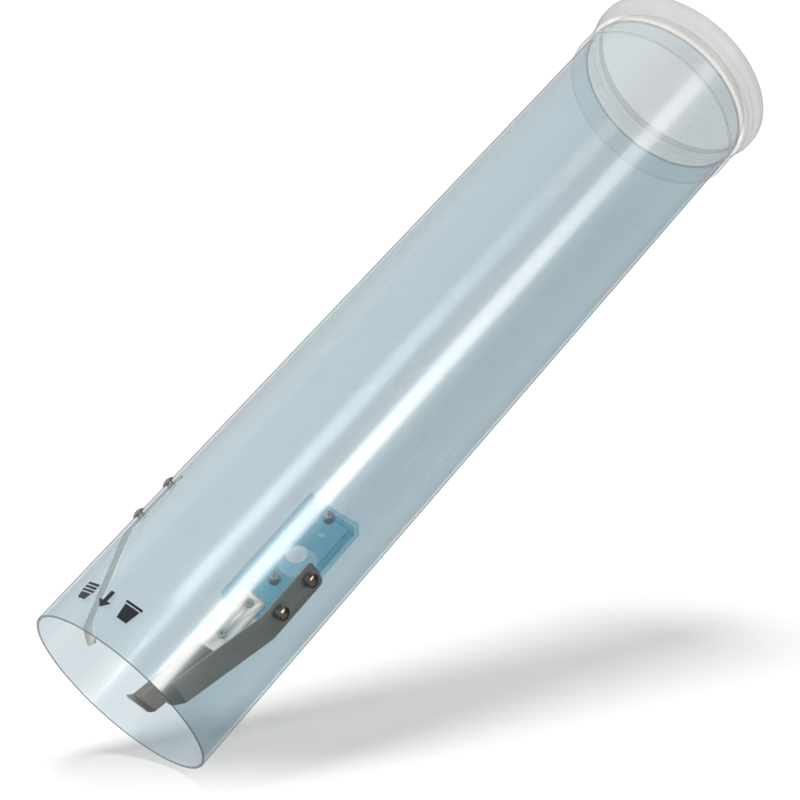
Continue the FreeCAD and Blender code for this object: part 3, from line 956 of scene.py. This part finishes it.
def soft_box(name, target, direction, receivers, side, power, colour):
    """A square area light, a metre away, that faces the target and lights only the receivers."""
    light = bpy.data.lights.new(name, "AREA")
    light.shape = "RECTANGLE"
    light.size, light.size_y = side, side
    light.energy = power
    light.color = colour
    lamp = bpy.data.objects.new(name, light)
    bpy.context.scene.collection.objects.link(lamp)
    lamp.matrix_world = facing_frame(target, direction, 1.0, Vector((0, 0, 1)))
    lamp.visible_camera = False
    lit = bpy.data.collections.new(name)
    for piece in receivers:
        lit.objects.link(piece)
    lamp.light_linking.receiver_collection = lit


def soft_sun(name, towards, spread, strength):
    """Even light from a broad disc overhead, which only the mirror rays don't see."""
    light = bpy.data.lights.new(name, "SUN")
    light.angle = spread
    light.energy = strength
    lamp = bpy.data.objects.new(name, light)
    bpy.context.scene.collection.objects.link(lamp)
    lamp.rotation_mode = "QUATERNION"
    lamp.rotation_quaternion = towards.to_track_quat("Z", "Y")
    lamp.visible_glossy = False


def make_card(name, target, direction, distance, size, strength):
    """A tall glowing card that only mirrors see: soft at its long edges, and fading out upwards."""
    width, height = size
    mesh = bmesh.new()
    right, top = width / 2, height / 2
    corners = ((-right, -top), (right, -top), (right, top), (-right, top))
    mesh.faces.new([mesh.verts.new((x, y, 0)) for x, y in corners])
    shader = Shader(name)
    place = shader.node("SeparateXYZ", {"Vector": shader.place()}).outputs
    off_middle = shader.math("ABSOLUTE", place["X"])
    edge = shader.ranged(off_middle, width * 0.22, width * 0.5, 1.0, 0.0, smooth=True)
    upwards = shader.math(
        "MULTIPLY",
        shader.ranged(place["Y"], -0.15 * height, 0.2 * height, 1.0, 0.3),
        shader.ranged(place["Y"], 0.24 * height, 0.455 * height, 1.0, 0.0),
    )
    glow = shader.math("MULTIPLY", shader.math("MULTIPLY", edge, upwards), strength)
    emission = shader.node("Emission", {"Color": (1.0, 0.95, 0.92, 1), "Strength": glow}).outputs[0]
    card = to_object(name, mesh, shader.finish(emission))
    card.matrix_world = facing_frame(target, direction, distance, Vector((0, 0, 1)))
    card.visible_camera = False
    card.visible_diffuse = False
    card.visible_transmission = False
    card.visible_shadow = False


def light_world(right, up, back):
    """A white backdrop; mirrored, it is a dim room with pale walls to the left, in front and behind."""
    shader = Shader("studio", "World")
    ray = shader.node("TexCoord").outputs["Generated"]

    def glow(colour, strength):
        """Even light of one colour."""
        return shader.node("Background", {"Color": colour + (1,), "Strength": strength}).outputs[0]

    def wall(side, near, far, strength, colour):
        """Light from one side, nothing near the first cosine and full at the second."""
        dot = shader.node("VectorMath", {0: ray, 1: side.normalized()}, operation="DOT_PRODUCT")
        return glow(colour, shader.ranged(dot.outputs["Value"], near, far, 0.0, strength, smooth=True))

    cool, plain, warm = (0.80, 0.91, 1.0), (0.85, 0.94, 1.0), (1.0, 0.97, 0.93)
    mirrored = glow(plain, 0.1)
    for light in (
        wall(-right, -0.7, 0.5, 0.12, plain),
        wall(up * 0.35 + back * 0.49 - right * 0.8, 0.1, 0.65, 0.75, cool),
        wall(back, 0.45, 0.9, 0.34, cool),
        wall(up * 0.1 - back * 0.83 - right * 0.55, 0.3, 0.9, 0.55, warm),
    ):
        mirrored = shader.node("AddShader", {0: mirrored, 1: light}).outputs[0]
    room = glow((1.0, 0.98, 0.96), ROOM_LIGHT)
    backdrop = glow((1.0, 1.0, 1.0), BACKDROP_LIGHT)
    path = shader.node("LightPath").outputs
    unseen = shader.mix(path["Is Glossy Ray"], room, mirrored)
    world = shader.finish(shader.mix(path["Is Camera Ray"], unseen, backdrop))
    world.cycles.sampling_method = "NONE"
    bpy.context.scene.world = world


def make_floor(origin, normal, front):
    """A pale round floor, as bright as the backdrop, that ends in front and hides nothing from below."""
    mesh = bmesh.new()
    bmesh.ops.create_circle(mesh, cap_ends=True, segments=96, radius=3.0)
    shader = Shader("floor")
    ahead = shader.node("SeparateXYZ", {"Vector": shader.place()}).outputs["Y"]
    near_fade = shader.ranged(ahead, -30 * MM, 50 * MM, 0.0, 1.0, smooth=True)
    behind = shader.node("NewGeometry").outputs["Backfacing"]
    hidden = shader.math("MAXIMUM", near_fade, behind)
    pale = shader.node("BsdfDiffuse", {"Color": (0.9, 0.9, 0.9, 1)}).outputs[0]
    gone = shader.node("BsdfTransparent").outputs[0]
    floor = to_object("floor", mesh, shader.finish(shader.mix(hidden, pale, gone)))
    floor.visible_glossy = False
    floor.matrix_world = facing_frame(origin, normal, 0.0, front)


def light_studio(look, metals):
    """The lights and the floor, which lies level in the camera's picture under the tube's lowest point."""
    right, up, back = (look.to_3x3() @ Vector(v) for v in ((1, 0, 0), (0, 1, 0), (0, 0, 1)))
    middle = Vector((AXIS.x, AXIS.y, (RIM + TUBE_END) / 2))
    strip_turn = math.radians(CAMERA_TURN + 22)
    strip_from = Vector((math.sin(strip_turn), -math.cos(strip_turn), 0.45))
    make_card("strip_card", middle, strip_from, distance=1.2, size=(0.46, 1.5), strength=7.8)
    plate_from = Vector((-0.35, -0.87, 0.28))
    soft_box("metal_light", middle, plate_from, metals, side=0.5, power=2.5, colour=(1.0, 0.83, 0.79))
    side_from = right * 0.74 - up * 0.58 + back * 0.24
    soft_box("metal_side_light", middle, side_from, metals, side=1.2, power=1.5, colour=(1.0, 0.92, 0.88))

    tilt = math.radians(9.5)
    floor_up = (up * math.cos(tilt) + back * math.sin(tilt)).normalized()
    overhead = (floor_up - right * 0.06).normalized()
    soft_sun("overhead", overhead, spread=math.radians(23), strength=2.98)
    light_world(right, up, back)

    rim_points = [
        Vector((RADIUS * math.cos(a), AXIS.y + RADIUS * math.sin(a), RIM))
        for a in (math.tau * n / 64 for n in range(64))
    ]
    lowest = min(rim_points, key=lambda point: point.dot(floor_up))
    make_floor(lowest - floor_up * 2 * MM, floor_up, front=back)


# Assembly

make_tube()
make_cap()
make_bracket()
make_wall_plate()
metal = [make_finger(side, math.radians(degrees)) for side, degrees in FINGERS.items()]
finger_grip = RADIUS - STRIP_FACE + STRIP_WALL
metal += [make_rivet(node, turn, RADIUS, finger_grip) for node, turn in RIVET_PLACES.items()]
bracket_grip = CHANNEL_WALL + TUBE_WALL + RIVET_SLACK
metal += [make_rivet(node, 0.0, RADIUS + CHANNEL_WALL, bracket_grip) for node in BRACKET_RIVETS]
make_mark()
light_studio(aim_camera(), metal)

scene = bpy.context.scene
scene.view_settings.view_transform = "Standard"
scene.cycles.transparent_max_bounces = 48
